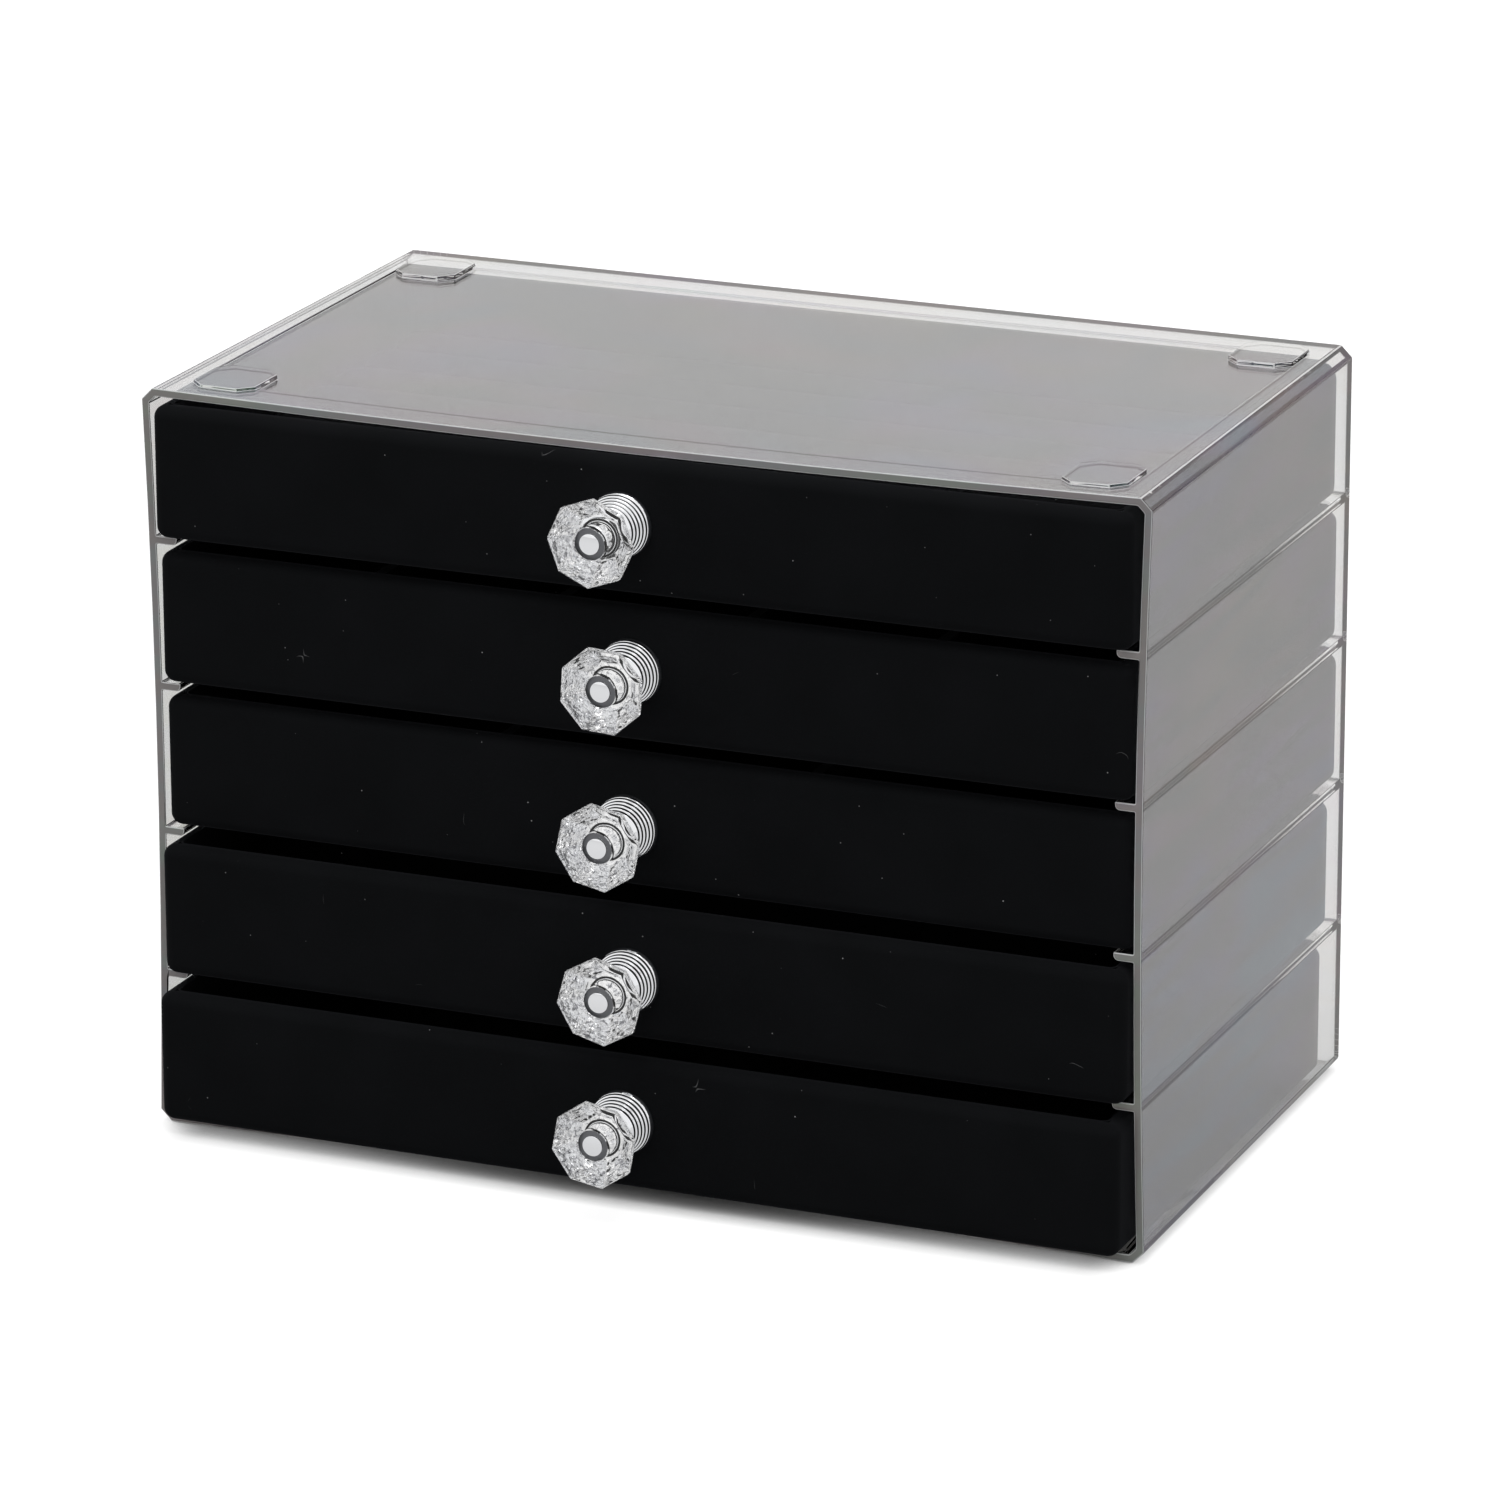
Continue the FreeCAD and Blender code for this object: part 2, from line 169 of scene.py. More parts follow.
def make_world():
    """White all round, a little greyer through the plastic and dimmer for dull surfaces."""
    world = bpy.data.worlds.new("white_tent")
    world.use_nodes = True
    tree = world.node_tree
    tree.nodes.clear()
    strength = add_by_ray(tree, 1.0, TENT_MIRRORED, TENT_THROUGH_PLASTIC, TENT_ON_DULL_SURFACES)
    background = add_node(tree, "ShaderNodeBackground", links={"Strength": strength})
    background.inputs["Color"].default_value = (1, 1, 1, 1)
    output = add_node(tree, "ShaderNodeOutputWorld")
    tree.links.new(background.outputs["Background"], output.inputs["Surface"])
    scene.world = world


def make_floor():
    """A wide paper floor that keeps the box's shadow."""
    material, tree, output = start_material("white_paper_floor")
    paper = add_node(tree, "ShaderNodeBsdfDiffuse")
    paper.inputs["Color"].default_value = (FLOOR_REFLECTANCE, FLOOR_REFLECTANCE, FLOOR_REFLECTANCE, 1)
    place = add_node(tree, "ShaderNodeTexCoord").outputs["Object"]
    sideways = add_node(tree, "ShaderNodeVectorMath", {"operation": "MULTIPLY_ADD"}, inputs={
        1: (SIDE_FILL_PER_METRE, 0, 0), 2: (0, 0, 1),
    }, links={0: place})
    fill = add_node(tree, "ShaderNodeVectorMath", {"operation": "NORMALIZE"}, links={
        0: sideways.outputs[0],
    })
    sky = add_node(tree, "ShaderNodeAmbientOcclusion", {"samples": 4}, inputs={
        "Distance": SHADOW_REACH,
    }, links={"Normal": fill.outputs[0]})
    openness = add_node(tree, "ShaderNodeMapRange", inputs={"From Min": SHADOW_DARK}, links={
        "Value": sky.outputs["AO"],
    })
    openness = add_math(tree, "POWER", openness.outputs["Result"], SHADOW_CONTRAST)
    level = add_by_ray(tree, FLOOR_GLOW, FLOOR_GLOW_MIRRORED, FLOOR_GLOW_THROUGH_PLASTIC, 0.0)
    strength = add_math(tree, "MULTIPLY", openness, level)
    glow = add_node(tree, "ShaderNodeEmission", links={"Strength": strength})
    both = add_node(tree, "ShaderNodeAddShader")
    tree.links.new(paper.outputs[0], both.inputs[0])
    tree.links.new(glow.outputs[0], both.inputs[1])
    tree.links.new(both.outputs[0], output.inputs["Surface"])
    half = FLOOR_SIZE / 2
    mesh = bpy.data.meshes.new("floor")
    corners = [(-half, -half, 0), (half, -half, 0), (half, half, 0), (-half, half, 0)]
    mesh.from_pydata(corners, [], [(0, 1, 2, 3)])
    floor = bpy.data.objects.new("floor", mesh)
    floor.location.z = -0.2 * MM
    scene.collection.objects.link(floor)
    floor.data.materials.append(material)


def make_soft_lamp():
    """One large square lamp overhead."""
    data = bpy.data.lights.new("soft_box", "AREA")
    data.shape = "SQUARE"
    data.size = LAMP_SIZE
    data.energy = LAMP_WATTS
    lamp = bpy.data.objects.new("soft_box", data)
    lamp.location = LAMP_PLACE
    lamp.rotation_euler = (Vector((0, 0, 0.08)) - lamp.location).to_track_quat("-Z", "Y").to_euler()
    scene.collection.objects.link(lamp)


make_world()
make_floor()
make_soft_lamp()
scene.cycles.max_bounces = 40
scene.cycles.transmission_bounces = 40
scene.cycles.glossy_bounces = 12
scene.cycles.diffuse_bounces = 8
scene.cycles.transparent_max_bounces = 16
print("studio: white tent, soft box and paper floor")

# %% [markdown]
# The case is clear general-purpose polystyrene, injection moulded in a polished mould. Its
# refractive index of 1.59 is high for a plastic, so the top and side mirror the white studio
# strongly, which is why they look grey over the black drawers. Thin sheets look colourless, but
# light that runs along a wall from end to end loses some blue and comes out a brownish grey: an
# absorbing volume gives that by itself. Frozen stress leaves faint tan, pink and blue clouds,
# and streaks along the way the plastic flowed. Both are drawn here as a very thin film, whose
# thickness makes the clouds and whose index makes the streaks.
#
# The rounded edges bend in light from the unlit parts of a real room, which draws a dark line
# along each of them. The tent has no unlit part, so the edges get a dark, partly clear plastic,
# and the strips that face up or forward, into the lamp, a milky one. Light that enters a wall at
# the back and is guided to its front rim makes the rim look like solid grey-brown plastic.
# Following that light through all its reflections would mostly give noise, so the rim simply
# gets that colour.

# %% Clear polystyrene
CLOUD_SIZE = 70 * MM
LOWEST_SKIN_INDEX = 1.60
HIGHEST_SKIN_INDEX = 1.68
THINNEST_SKIN_NM = 330
THICKEST_SKIN_NM = 415
STREAK_WIDTH = 5 * MM
STREAK_STRETCH = 0.12
CLEAR_TINT = "#FFFFFF"
DARK_EDGE_TINT = "#242324"
RIM_COLOUR = "#989290"


def make_clear_polystyrene(name, tint, roughness=0.0, clearness=1.0):
    """Polished clear polystyrene with faint colour clouds and a slight absorption."""
    material, tree, output = start_material(name)
    place = add_node(tree, "ShaderNodeTexCoord").outputs["Object"]
    cloud = add_node(tree, "ShaderNodeTexNoise", inputs={
        "Scale": 1 / CLOUD_SIZE, "Detail": 1.5, "Distortion": 0.8,
    }, links={"Vector": place})
    skin = add_node(tree, "ShaderNodeMapRange", inputs={
        "From Min": 0.3, "From Max": 0.7, "To Min": THINNEST_SKIN_NM, "To Max": THICKEST_SKIN_NM,
    }, links={"Value": cloud.outputs["Fac"]})
    along_flow = add_node(tree, "ShaderNodeVectorMath", {"operation": "MULTIPLY"}, inputs={
        1: (STREAK_STRETCH, STREAK_STRETCH, 1),
    }, links={0: place})
    streak = add_node(tree, "ShaderNodeTexNoise", inputs={
        "Scale": 1 / STREAK_WIDTH, "Detail": 1.0, "Distortion": 0.6,
    }, links={"Vector": along_flow.outputs[0]})
    skin_index = add_node(tree, "ShaderNodeMapRange", inputs={
        "From Min": 0.38, "From Max": 0.62, "To Min": LOWEST_SKIN_INDEX, "To Max": HIGHEST_SKIN_INDEX,
    }, links={"Value": streak.outputs["Fac"]})
    plastic = add_node(tree, "ShaderNodeBsdfPrincipled", inputs={
        "Base Color": linear(tint),
        "Roughness": roughness,
        "IOR": 1.59,
        "Transmission Weight": clearness,
    }, links={
        "Thin Film Thickness": skin.outputs["Result"], "Thin Film IOR": skin_index.outputs["Result"],
    })
    absorption = add_node(tree, "ShaderNodeVolumeAbsorption", inputs={
        "Color": (0.10, 0.043, 0.021, 1),
        "Density": 10.0,
    })
    tree.links.new(plastic.outputs[0], output.inputs["Surface"])
    tree.links.new(absorption.outputs[0], output.inputs["Volume"])
    return material


clear_polystyrene = make_clear_polystyrene("clear_moulded_polystyrene", CLEAR_TINT)
dark_edge = make_clear_polystyrene("clear_polystyrene_dark_edge", DARK_EDGE_TINT, 0.1, 0.35)
bright_edge = make_clear_polystyrene("clear_polystyrene_bright_edge", CLEAR_TINT, 0.2, 0.35)
rim_polystyrene = make_clear_polystyrene("clear_polystyrene_front_rim", RIM_COLOUR, 0.15, 0.25)
print("made", clear_polystyrene.name, dark_edge.name, bright_edge.name, rim_polystyrene.name)


# %% [markdown]
# The case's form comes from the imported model: a shell with rails and stacking pads in one
# moulding. A real mould can't cut a knife-sharp edge, and the tiny radii are what draws the thin
# lines along every edge. The walls bow by a millimetre, and clear walls show every kink, so the
# shading normals matter as much as the shape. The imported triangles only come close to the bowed
# walls, so a plane or a smooth bowed surface is fitted to each wall's points, and the points take
# their normals from that. The plane is tried first: a flat wall has points only along its edges,
# and they say nothing about a bow. Both sides of a wall then stay parallel for light that passes
# through.

# %% Clear case
MOULD_EDGE_RADIUS = 0.22 * MM
ROUNDED_SLOT = 1
SHARP_ANGLE = math.radians(20)
SAME_WALL_ANGLE = math.radians(3)
LEAST_WALL_AREA = 60 * MM * MM
LEAST_BOWED_AREA = 1000 * MM * MM
LARGEST_FIT_ERROR = 0.02 * MM


def add_piece(name, mesh, material, body, replaced=()):
    """Link a finished mesh as a piece that rides on a body."""
    piece = bpy.data.objects.new(name, mesh)
    scene.collection.objects.link(piece)
    if material:
        piece.data.materials.clear()
        piece.data.materials.append(material)
    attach(piece, body)
    if replaced:
        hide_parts(*replaced)
    return piece


def round_edges(shape, radius, sharp_angle, flat_angle):
    """Join a bmesh into clean faces and round its sharp edges."""
    bmesh.ops.remove_doubles(shape, verts=shape.verts, dist=0.001 * MM)
    bmesh.ops.dissolve_limit(
        shape, angle_limit=flat_angle, verts=shape.verts, edges=shape.edges, delimit={"NORMAL"},
    )
    sharp = [
        edge for edge in shape.edges
        if len(edge.link_faces) == 2 and edge.calc_face_angle(0) > sharp_angle
    ]
    bmesh.ops.bevel(
        shape, geom=sharp, offset=radius, segments=2, profile=0.5, affect="EDGES",
        clamp_overlap=False, miter_outer="ARC", material=ROUNDED_SLOT,
    )


def find_walls(shape):
    """Groups of neighbouring faces that turn only slightly from one to the next."""
    waiting = set(shape.faces)
    walls = []
    while waiting:
        wall = [waiting.pop()]
        for face in wall:
            for edge in face.edges:
                for other in edge.link_faces:
                    if other in waiting and face.normal.angle(other.normal, 0) < SAME_WALL_ANGLE:
                        waiting.discard(other)
                        wall.append(other)
        walls.append(wall)
    return sorted(walls, key=lambda wall: sum(face.calc_area() for face in wall))


def fitted_normals(points, facing, bowed):
    """Normals of a plane through points, or else of a bowed surface, or None if neither fits."""
    places = np.array([point.co for point in points])
    across = int(np.argmax(np.abs(facing)))
    first, second = [axis for axis in range(3) if axis != across]
    middle = places.mean(axis=0)
    spread = np.maximum(places.std(axis=0), MM)
    u, v = ((places - middle) / spread)[:, [first, second]].T
    bends = [u * v, u * u, v * v, u * v * v, u * u * v]
    terms = np.stack([np.ones_like(u), u, v] + bends, axis=1)
    heights = places[:, across] - middle[across]
    for count in (3, terms.shape[1]) if bowed else (3,):
        factors = np.zeros(terms.shape[1])
        factors[:count] = np.linalg.lstsq(terms[:, :count], heights, rcond=1e-4)[0]
        fits = np.abs(terms @ factors - heights).max() < LARGEST_FIT_ERROR
        if fits:
            break
    if not fits:
        return None
    slope_u = factors[1] + factors[3] * v + 2 * factors[4] * u + factors[6] * v * v + 2 * factors[7] * u * v
    slope_v = factors[2] + factors[3] * u + 2 * factors[5] * v + 2 * factors[6] * u * v + factors[7] * u * u
    normals = np.zeros_like(places)
    normals[:, across] = 1
    normals[:, first] = -slope_u / spread[first]
    normals[:, second] = -slope_v / spread[second]
    normals *= np.sign(facing[across]) / np.linalg.norm(normals, axis=1, keepdims=True)
    return normals


def smooth_normals(shape):
    """Each point's normal, taken from the largest wall that it belongs to."""
    normals = [point.normal.copy() for point in shape.verts]
    for wall in find_walls(shape):
        area = sum(face.calc_area() for face in wall)
        if area < LEAST_WALL_AREA:
            continue
        facing = sum((face.normal * face.calc_area() for face in wall), Vector())
        points = list({point for face in wall for point in face.verts})
        fitted = fitted_normals(points, facing, area > LEAST_BOWED_AREA)
        if fitted is not None:
            for point, normal in zip(points, fitted):
                normals[point.index] = Vector(normal)
    return normals


def rounded_copy(node, radius, sharp_angle=SHARP_ANGLE, flat_angle=math.radians(0.02)):
    """A copy of a node's mesh with small rounded edges and clean shading."""
    shape = bmesh.new()
    shape.from_mesh(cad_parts[node].data)
    round_edges(shape, radius, sharp_angle, flat_angle)
    shape.verts.index_update()
    shape.normal_update()
    normals = smooth_normals(shape)
    mesh = bpy.data.meshes.new(node + "_rounded")
    shape.to_mesh(mesh)
    shape.free()
    for polygon in mesh.polygons:
        polygon.use_smooth = True
    mesh.normals_split_custom_set_from_vertices(normals)
    return mesh


case_mesh = rounded_copy("clear_case", MOULD_EDGE_RADIUS)
case_slots = (clear_polystyrene, dark_edge, bright_edge, rim_polystyrene)
for material in case_slots:
    case_mesh.materials.append(material)
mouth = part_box("clear_case")[0][1]
for polygon in case_mesh.polygons:
    rounded = polygon.material_index == ROUNDED_SLOT
    at_mouth = polygon.center.y < mouth + MOULD_EDGE_RADIUS
    faces_lamp = polygon.normal.z > 0.7 or polygon.normal.y < -0.7
    if rounded and faces_lamp and polygon.normal.y < 0.2:
        polygon.material_index = case_slots.index(bright_edge)
    if at_mouth and polygon.normal.y < -0.98:
        polygon.material_index = case_slots.index(rim_polystyrene)
case = add_piece("moulded_case", case_mesh, None, "case", ["clear_case"])
print("case has", len(case.data.polygons), "faces")

# %% [markdown]
# Jeweller's velvet is a short dense pile. Light that enters between the fibres is lost, so the
# face is nearly black, and only fibres seen side-on, along folds and rounded edges, catch some
# sheen. Principled's sheen layer is made for that. Two noises break it up: a fine one for the
# pile and a broad one for where a finger has brushed it. Black velvet always holds some dust and
# lint: the dust comes from the middles of Voronoi cells, and the lint from thin lines along which
# a smooth noise has one value.

# %% Black velvet
DEEP_PILE = "#0F1011"
BRUSHED_PILE = "#161719"
DUST_COLOUR = "#B4B4B6"
PILE_GRAIN = 0.35 * MM
BRUSHED_PATCH = 18 * MM
DUST_SPACING = 5.0 * MM
DUST_RADIUS_SHARE = 0.034
LINT_CURL = 4.5 * MM


def add_dust(tree, place):
    """How much of a spot is a dust speck, from 0 to 1; some specks are fainter than others."""
    dust = add_node(tree, "ShaderNodeTexVoronoi", {"feature": "F1"}, inputs={
        "Scale": 1 / DUST_SPACING, "Randomness": 1.0,
    }, links={"Vector": place})
    speck = add_node(tree, "ShaderNodeMapRange", inputs={
        "From Min": DUST_RADIUS_SHARE * 0.6, "From Max": DUST_RADIUS_SHARE, "To Min": 1.0, "To Max": 0.0,
    }, links={"Value": dust.outputs["Distance"]})
    brightness = add_node(tree, "ShaderNodeSeparateColor", links={"Color": dust.outputs["Color"]})
    return add_math(tree, "MULTIPLY", speck.outputs["Result"], brightness.outputs["Red"])


def add_lint(tree, place):
    """Short curled threads: thin lines of one noise level, kept only near scattered spots."""
    curl = add_node(tree, "ShaderNodeTexNoise", inputs={
        "Scale": 1 / LINT_CURL, "Detail": 0.0,
    }, links={"Vector": place})
    on_line = add_node(tree, "ShaderNodeMath", {"operation": "COMPARE"}, inputs={
        1: 0.5, 2: 0.006,
    }, links={0: curl.outputs["Fac"]})
    spot = add_node(tree, "ShaderNodeTexVoronoi", {"feature": "F1"}, inputs={
        "Scale": 1 / (4 * LINT_CURL), "Randomness": 1.0,
    }, links={"Vector": place})
    near_spot = add_node(tree, "ShaderNodeMapRange", inputs={
        "From Min": 0.05, "From Max": 0.10, "To Min": 0.22, "To Max": 0.0,
    }, links={"Value": spot.outputs["Distance"]})
    return add_math(tree, "MULTIPLY", on_line.outputs[0], near_spot.outputs["Result"])


def make_velvet():
    """Black velvet pile with sheen, brushed patches and a little dust."""
    material, tree, output = start_material("black_velvet_pile")
    place = add_node(tree, "ShaderNodeTexCoord").outputs["Object"]
    pile = add_node(tree, "ShaderNodeTexNoise", inputs={
        "Scale": 1 / PILE_GRAIN, "Detail": 2.0, "Roughness": 0.6,
    }, links={"Vector": place})
    patch = add_node(tree, "ShaderNodeTexNoise", inputs={
        "Scale": 1 / BRUSHED_PATCH, "Detail": 3.0,
    }, links={"Vector": place})
    fleck = add_math(tree, "MAXIMUM", add_dust(tree, place), add_lint(tree, place))
    shade = add_node(tree, "ShaderNodeMix", {"data_type": "RGBA"}, inputs={
        6: linear(DEEP_PILE), 7: linear(BRUSHED_PILE),
    }, links={"Factor": patch.outputs["Fac"]})
    dusty = add_node(tree, "ShaderNodeMix", {"data_type": "RGBA"}, inputs={
        7: linear(DUST_COLOUR),
    }, links={"Factor": fleck, 6: shade.outputs[2]})
    nap = add_node(tree, "ShaderNodeBump", inputs={
        "Strength": 0.35, "Distance": 0.12 * MM,
    }, links={"Height": pile.outputs["Fac"]})
    cloth = add_node(tree, "ShaderNodeBsdfPrincipled", inputs={
        "Roughness": 0.95, "IOR": 1.45, "Specular IOR Level": 0.05,
        "Sheen Weight": 0.10, "Sheen Roughness": 0.35, "Sheen Tint": linear("#9A9CA6"),
    }, links={"Base Color": dusty.outputs[2], "Normal": nap.outputs["Normal"]})
    tree.links.new(cloth.outputs[0], output.inputs["Surface"])
    return material


velvet = make_velvet()
print("made", velvet.name, "with a pile grain of", PILE_GRAIN / MM, "mm")


# %% [markdown]
# Each drawer is a stiff tray with velvet glued over it: one piece covers the outside, goes over
# the rim and is turned under the floor, and a second piece lines the inside. Both could be
# solidified boxes, but cloth has no sharp folds, so the script sweeps a profile with rounded
# turns round a rounded rectangle. Its rings all have the same number of points, so joining them
# is one loop of four-sided faces.

# %% Velvet skins
CORNER_STEPS = 8
TURN_STEPS = 8
VELVET_THICKNESS = 0.6 * MM
WRAP_RADIUS = 2.8 * MM
HEM = 14 * MM
LINING_TURN = 1.2 * MM
LINING_CORNER = 2 * MM


def ring(box, inset, height, radius):
    """Points of a rounded rectangle inside box, inset from its sides, at a height."""
    low, high = box
    round_off = max(radius - inset, 0.05 * MM)
    centres = [
        (high[0] - inset - round_off, high[1] - inset - round_off, 0),
        (low[0] + inset + round_off, high[1] - inset - round_off, 90),
        (low[0] + inset + round_off, low[1] + inset + round_off, 180),
        (high[0] - inset - round_off, low[1] + inset + round_off, 270),
    ]
    points = []
    for x, y, start in centres:
        for step in range(CORNER_STEPS + 1):
            angle = math.radians(start + 90 * step / CORNER_STEPS)
            points.append((x + round_off * math.cos(angle), y + round_off * math.sin(angle), height))
    return points


def quarter_turn(centre, radius, start_degrees, end_degrees):
    """Profile points of (inset, height) along an arc."""
    points = []
    for step in range(TURN_STEPS + 1):
        angle = math.radians(start_degrees + (end_degrees - start_degrees) * step / TURN_STEPS)
        points.append((centre[0] + radius * math.cos(angle), centre[1] + radius * math.sin(angle)))
    return points


def sweep(name, box, profile, radius, closed):
    """Join rings made from a profile of (inset, height); an open profile gets end caps."""
    rings = [ring(box, inset, height, radius) for inset, height in profile]
    count = len(rings[0])
    points = [point for one in rings for point in one]
    faces = []
    spans = len(rings) if closed else len(rings) - 1
    for row in range(spans):
        below = row * count
        above = (row + 1) % len(rings) * count
        for column in range(count):
            beside = (column + 1) % count
            faces.append((below + column, below + beside, above + beside, above + column))
    if not closed:
        faces.append(tuple(reversed(range(count))))
        faces.append(tuple(range((len(rings) - 1) * count, len(rings) * count)))
    mesh = bpy.data.meshes.new(name)
    mesh.from_pydata(points, [], faces)
    shape = bmesh.new()
    shape.from_mesh(mesh)
    bmesh.ops.recalc_face_normals(shape, faces=shape.faces)
    shape.to_mesh(mesh)
    shape.free()
    for polygon in mesh.polygons:
        polygon.use_smooth = True
    mesh.set_sharp_from_angle(angle=math.radians(35))
    return mesh


def make_wrap(number):
    """The velvet over a drawer's outside, rim and the edge of its underside."""
    node = "drawer_%d_velvet_wrap" % number
    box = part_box(node)
    bottom = box[0][2]
    top = box[1][2]
    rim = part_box("drawer_%d_velvet_lining" % number)[0][0] - box[0][0]
    inner = WRAP_RADIUS - VELVET_THICKNESS
    outside = [(HEM, bottom)]
    outside += quarter_turn((WRAP_RADIUS, bottom + WRAP_RADIUS), WRAP_RADIUS, 270, 180)
    outside += quarter_turn((WRAP_RADIUS, top - WRAP_RADIUS), WRAP_RADIUS, 180, 90)
    outside += [(rim, top)]
    inside = [(rim, top - VELVET_THICKNESS)]
    inside += quarter_turn((WRAP_RADIUS, top - WRAP_RADIUS), inner, 90, 180)
    inside += quarter_turn((WRAP_RADIUS, bottom + WRAP_RADIUS), inner, 180, 270)
    inside += [(HEM, bottom + VELVET_THICKNESS)]
    mesh = sweep("drawer_%d_wrap" % number, box, outside + inside, WRAP_RADIUS, True)
    piece = add_piece("drawer_%d_velvet_outside" % number, mesh, velvet,
                      "drawer_%d" % number, [node])
    return piece


def cloth_area(piece):
    """Half the area of a thin closed skin, which is its cloth's flat area."""
    return sum(polygon.area for polygon in piece.data.polygons) / 2


def make_lining(number):
    """The velvet on the tray's inner walls and floor."""
    node = "drawer_%d_velvet_lining" % number
    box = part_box(node)
    bottom = box[0][2]
    top = box[1][2]
    thick = VELVET_THICKNESS
    turn = quarter_turn((thick + LINING_TURN, bottom + thick + LINING_TURN), LINING_TURN, 180, 270)
    profile = [(0, bottom), (0, top), (thick, top)] + turn
    mesh = sweep("drawer_%d_lining" % number, box, profile, LINING_CORNER, False)
    piece = add_piece("drawer_%d_velvet_inside" % number, mesh, velvet,
                      "drawer_%d" % number, [node])
    return piece


for number in DRAWERS:
    wrap = make_wrap(number)
    lining = make_lining(number)
    areas = [round(cloth_area(piece), 4) for piece in (wrap, lining)]
    print(wrap.name, "and", lining.name, "cloth in m2:", areas)

# %% [markdown]
# The knobs have clear acrylic heads on bright plated bases. The head's flat face and narrow
# girdle are polished. Its tapered back came out of a textured mould. Its many small facets
# throw the light back by total reflection, so the head glitters white and grey over the black
# velvet instead of letting it through. Modelling each facet would be slow, so the back gets its
# own material: a bumpy surface, nearly all mirror, with the glitter painted as white and grey
# spots in its mirror colour. Faint waves run over the clear faces.

# %% Knob materials
WAVE_LENGTH = 2.2 * MM
FACET_SIZE = 1.5 * MM


def make_clear_acrylic():
    """Polished clear acrylic with faint moulding waves."""
    material, tree, output = start_material("clear_moulded_acrylic")
    place = add_node(tree, "ShaderNodeTexCoord").outputs["Object"]
    wave = add_node(tree, "ShaderNodeTexNoise", inputs={
        "Scale": 1 / WAVE_LENGTH, "Detail": 1.0,
    }, links={"Vector": place})
    bump = add_node(tree, "ShaderNodeBump", inputs={
        "Strength": 0.3, "Distance": 0.1 * MM,
    }, links={"Height": wave.outputs["Fac"]})
    acrylic = add_node(tree, "ShaderNodeBsdfPrincipled", inputs={
        "Base Color": (1, 1, 1, 1), "Roughness": 0.0, "IOR": 1.49, "Transmission Weight": 1.0,
    }, links={"Normal": bump.outputs["Normal"]})
    tree.links.new(acrylic.outputs[0], output.inputs["Surface"])
    return material


def make_glittering_acrylic():
    """The head's textured back: small facets that mirror the light, with painted glints in white and grey.
    """
    material, tree, output = start_material("faceted_acrylic_with_painted_glints")
    place = add_node(tree, "ShaderNodeTexCoord").outputs["Object"]
    facet = add_node(tree, "ShaderNodeTexVoronoi", {"feature": "F1"}, inputs={
        "Scale": 1 / FACET_SIZE,
    }, links={"Vector": place})
    grain = add_node(tree, "ShaderNodeTexNoise", inputs={
        "Scale": 1 / FACET_SIZE, "Detail": 2.0, "Roughness": 0.7, "Distortion": 1.2,
    }, links={"Vector": place})
    # Painted glints: the mirror colour is spotted white and grey, for facets that catch the light and
    # facets that don't.
    shade = add_node(tree, "ShaderNodeValToRGB", links={"Fac": grain.outputs["Fac"]})
    shade.color_ramp.elements[0].position = 0.36
    shade.color_ramp.elements[0].color = linear("#9A9A9E")
    shade.color_ramp.elements[1].position = 0.45
    shade.color_ramp.elements[1].color = linear("#FFFFFF")
    bump = add_node(tree, "ShaderNodeBump", inputs={
        "Strength": 1.0, "Distance": 0.16 * MM,
    }, links={"Height": facet.outputs["Distance"]})
    acrylic = add_node(tree, "ShaderNodeBsdfPrincipled", inputs={
        "Roughness": 0.06, "Metallic": 0.95,
    }, links={"Base Color": shade.outputs["Color"], "Normal": bump.outputs["Normal"]})
    tree.links.new(acrylic.outputs[0], output.inputs["Surface"])
    return material


def make_metal(name, colour, roughness):
    """A plated metal with a fine polishing grain in its roughness."""
    material, tree, output = start_material(name)
    place = add_node(tree, "ShaderNodeTexCoord").outputs["Object"]
    grain = add_node(tree, "ShaderNodeTexNoise", inputs={"Scale": 1 / (0.8 * MM)}, links={"Vector": place})
    rough = add_node(tree, "ShaderNodeMapRange", inputs={
        "To Min": roughness * 0.7, "To Max": roughness * 1.3,
    }, links={"Value": grain.outputs["Fac"]})
    metal = add_node(tree, "ShaderNodeBsdfPrincipled", inputs={
        "Base Color": linear(colour), "Metallic": 1.0,
    }, links={"Roughness": rough.outputs["Result"]})
    tree.links.new(metal.outputs[0], output.inputs["Surface"])
    return material


clear_acrylic = make_clear_acrylic()
glittering_acrylic = make_glittering_acrylic()
chrome_plate = make_metal("chrome_plated_zinc", "#F1F2F4", 0.05)
zinc_plate = make_metal("zinc_plated_steel", "#B9BCC0", 0.28)
# A darker, rougher metal that paints the shade in the bore of each knob base.
painted_bore_shade = make_metal("metal_with_painted_bore_shade", "#6C6D70", 0.35)
print("made", clear_acrylic.name, "and", glittering_acrylic.name)
print("made", chrome_plate.name, zinc_plate.name, painted_bore_shade.name)

# %% [markdown]
# Each head is a copy of its imported solid with its edges slightly rounded by tumbling, which is
# what gives the octagon its bright outline. The faces that look towards the drawer get the
# glittering material, and everything else stays clear. The base's stud shows through the head as
# a bright disc in a dark ring. The ring is the shoulder at the bottom of the bore, which sees
# little light: its shade is painted on those faces as a darker, rougher metal.

# %% Knob heads and bases
HEAD_EDGE_RADIUS = 0.18 * MM
BASE_EDGE_RADIUS = 0.06 * MM
SHOULDER_RADIUS = 3.9 * MM
SHOULDER_REACH = 4 * MM


